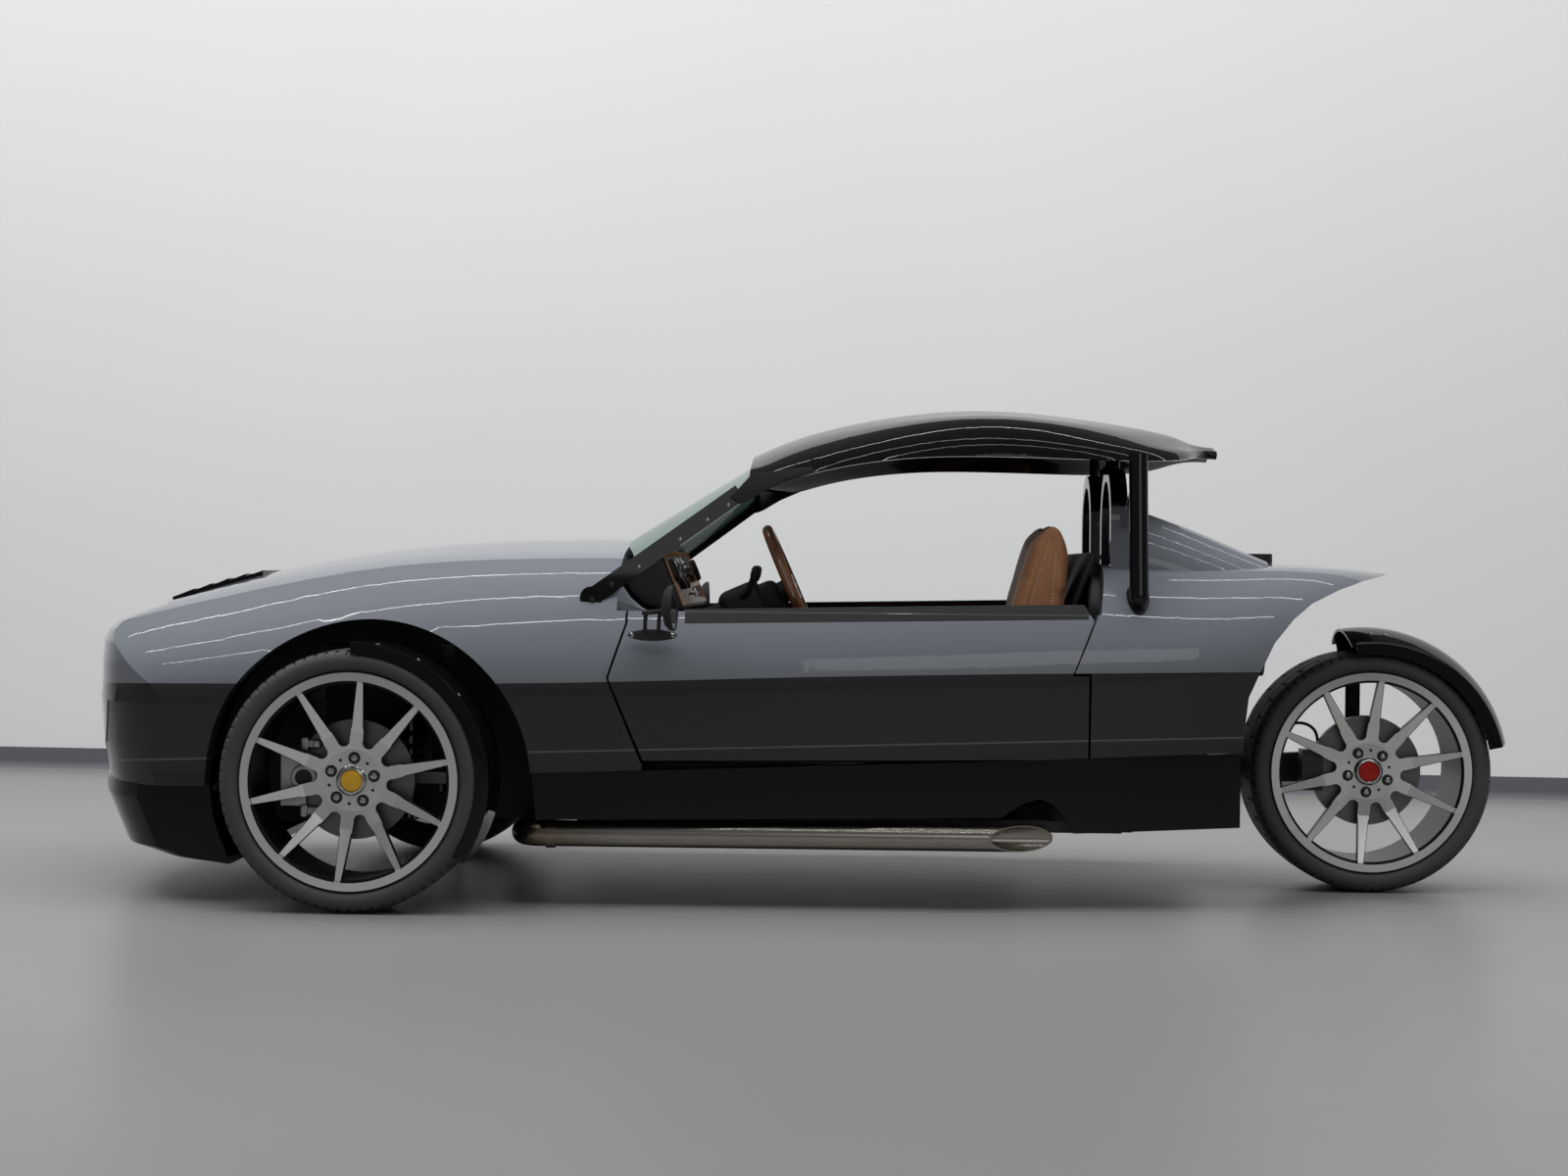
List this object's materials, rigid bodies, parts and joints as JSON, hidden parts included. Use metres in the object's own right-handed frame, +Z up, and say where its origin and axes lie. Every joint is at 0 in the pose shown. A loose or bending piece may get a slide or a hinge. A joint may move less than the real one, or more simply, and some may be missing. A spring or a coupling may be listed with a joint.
{
  "type": "three wheeled car",
  "caption": "Low open-sided sports three wheeler with a fixed roof, steered front wheels, a rear wheel on a swing arm, opening doors and side pipes.",
  "frame": {"origin": "on the road, at the middle of the car's overall length and width", "axes": "+X forward, +Y to the car's left, +Z up"},
  "size_m": [3.7985, 1.721, 1.288],
  "materials": {
    "body_paint": "mid grey gloss paint over a satin charcoal lower band",
    "gloss_black": "gloss black lacquer",
    "satin_black": "satin black moulding",
    "screen_glass": "clear laminated glass",
    "lamp_glass": "clear lens over a bright reflector",
    "tail_lamp_red": "red lens",
    "exhaust_steel": "heat-tinted stainless steel",
    "dash_wood": "varnished reddish wood",
    "wheel_rim_wood": "varnished wood rim on metal spokes",
    "seat_leather": "tan leather with stitched panels",
    "cast_metal": "cast aluminium",
    "chassis_paint": "black chassis paint",
    "damper_steel": "plated steel damper with a dark spring",
    "shaft_steel": "plain machined steel",
    "wheel_alloy": "machined silver face with dark windows",
    "tyre": "black rubber with a road tread",
    "disc_iron": "machined iron face",
    "calliper_silver": "silver lacquer",
    "calliper_dark": "dark lacquer"
  },
  "bodies": {
    "root": {"coilovers": "damper_steel", "control_arms": "chassis_paint", "damper_towers": "chassis_paint", "dashboard": "dash_wood", "engine_block": "cast_metal", "floor_tub": "chassis_paint", "front_frame": "chassis_paint", "front_shell": "body_paint", "front_valance": "gloss_black", "fuel_cap": "satin_black", "grille": "satin_black", "half_shafts": "shaft_steel", "headlamps": "lamp_glass", "hood_louvres": "gloss_black", "rack_guides": "cast_metal", "rear_caliper": "calliper_dark", "rear_frame": "chassis_paint", "rear_mudguard": "gloss_black", "rear_shell": "body_paint", "rear_shock": "damper_steel", "roll_hoops": "gloss_black", "roof_panel": "gloss_black", "seats": "seat_leather", "side_exhausts": "exhaust_steel", "side_sills": "gloss_black", "steering_column": "satin_black", "swing_arm": "chassis_paint", "tail_lamps": "tail_lamp_red", "wheel_arch_liners": "satin_black", "windscreen_frame": "gloss_black", "windscreen_glass": "screen_glass"},
    "knuckle_left": {"upright_left": "cast_metal", "caliper_left": "calliper_silver", "wheel_guard_left": "gloss_black"},
    "knuckle_right": {"upright_right": "cast_metal", "caliper_right": "calliper_silver", "wheel_guard_right": "gloss_black"},
    "wheel_front_left": {"rim_front_left": "wheel_alloy", "tyre_front_left": "tyre", "disc_front_left": "disc_iron"},
    "wheel_front_right": {"rim_front_right": "wheel_alloy", "tyre_front_right": "tyre", "disc_front_right": "disc_iron"},
    "wheel_rear": {"rim_rear": "wheel_alloy", "tyre_rear": "tyre", "disc_rear": "disc_iron"},
    "door_left": {"door_left": "body_paint", "door_cap_left": "gloss_black", "door_mirror_left": "gloss_black"},
    "door_right": {"door_right": "body_paint", "door_cap_right": "gloss_black", "door_mirror_right": "gloss_black"},
    "hand_wheel": {"steering_wheel": "wheel_rim_wood"},
    "rack": {"steering_rack": "shaft_steel"}
  },
  "joints": [
    {"name": "steer_left", "type": "hinge", "parent": "root", "child": "knuckle_left", "pos_m": [1.096, 0.69, 0.323], "axis": [0, 0, 1], "range_deg": [-28, 28]},
    {"name": "steer_right", "type": "hinge", "parent": "root", "child": "knuckle_right", "pos_m": [1.096, -0.69, 0.323], "axis": [0, 0, 1], "range_deg": [-28, 28]},
    {"name": "hand_wheel_turn", "type": "hinge", "parent": "root", "child": "hand_wheel", "pos_m": [0.032, 0.292, 0.802], "axis": [-0.9171, 0, 0.3987], "range_deg": [-393, 393]},
    {"name": "rack_slide", "type": "slide", "parent": "root", "child": "rack", "axis": [0, 1, 0], "range_m": [-0.053, 0.053]},
    {"name": "wheel_front_left_spin", "type": "hinge", "parent": "knuckle_left", "child": "wheel_front_left", "pos_m": [1.096, 0.738, 0.323], "axis": [0, 1, 0], "continuous": true},
    {"name": "wheel_front_right_spin", "type": "hinge", "parent": "knuckle_right", "child": "wheel_front_right", "pos_m": [1.096, -0.738, 0.323], "axis": [0, 1, 0], "continuous": true},
    {"name": "wheel_rear_spin", "type": "hinge", "parent": "root", "child": "wheel_rear", "pos_m": [-1.521, 0, 0.323], "axis": [0, 1, 0], "continuous": true},
    {"name": "door_left_swing", "type": "hinge", "parent": "root", "child": "door_left", "pos_m": [0.487, 0.70066, 0.577], "axis": [0, 0, -1], "range_deg": [0, 60]},
    {"name": "door_right_swing", "type": "hinge", "parent": "root", "child": "door_right", "pos_m": [0.487, -0.70066, 0.577], "axis": [0, 0, 1], "range_deg": [0, 60]}
  ],
  "couplings": [
    {"joint": "steer_right", "follows": "steer_left", "ratio": 1},
    {"joint": "hand_wheel_turn", "follows": "steer_left", "ratio": 14},
    {"joint": "rack_slide", "follows": "steer_left", "m_per_rad": 0.105}
  ]
}
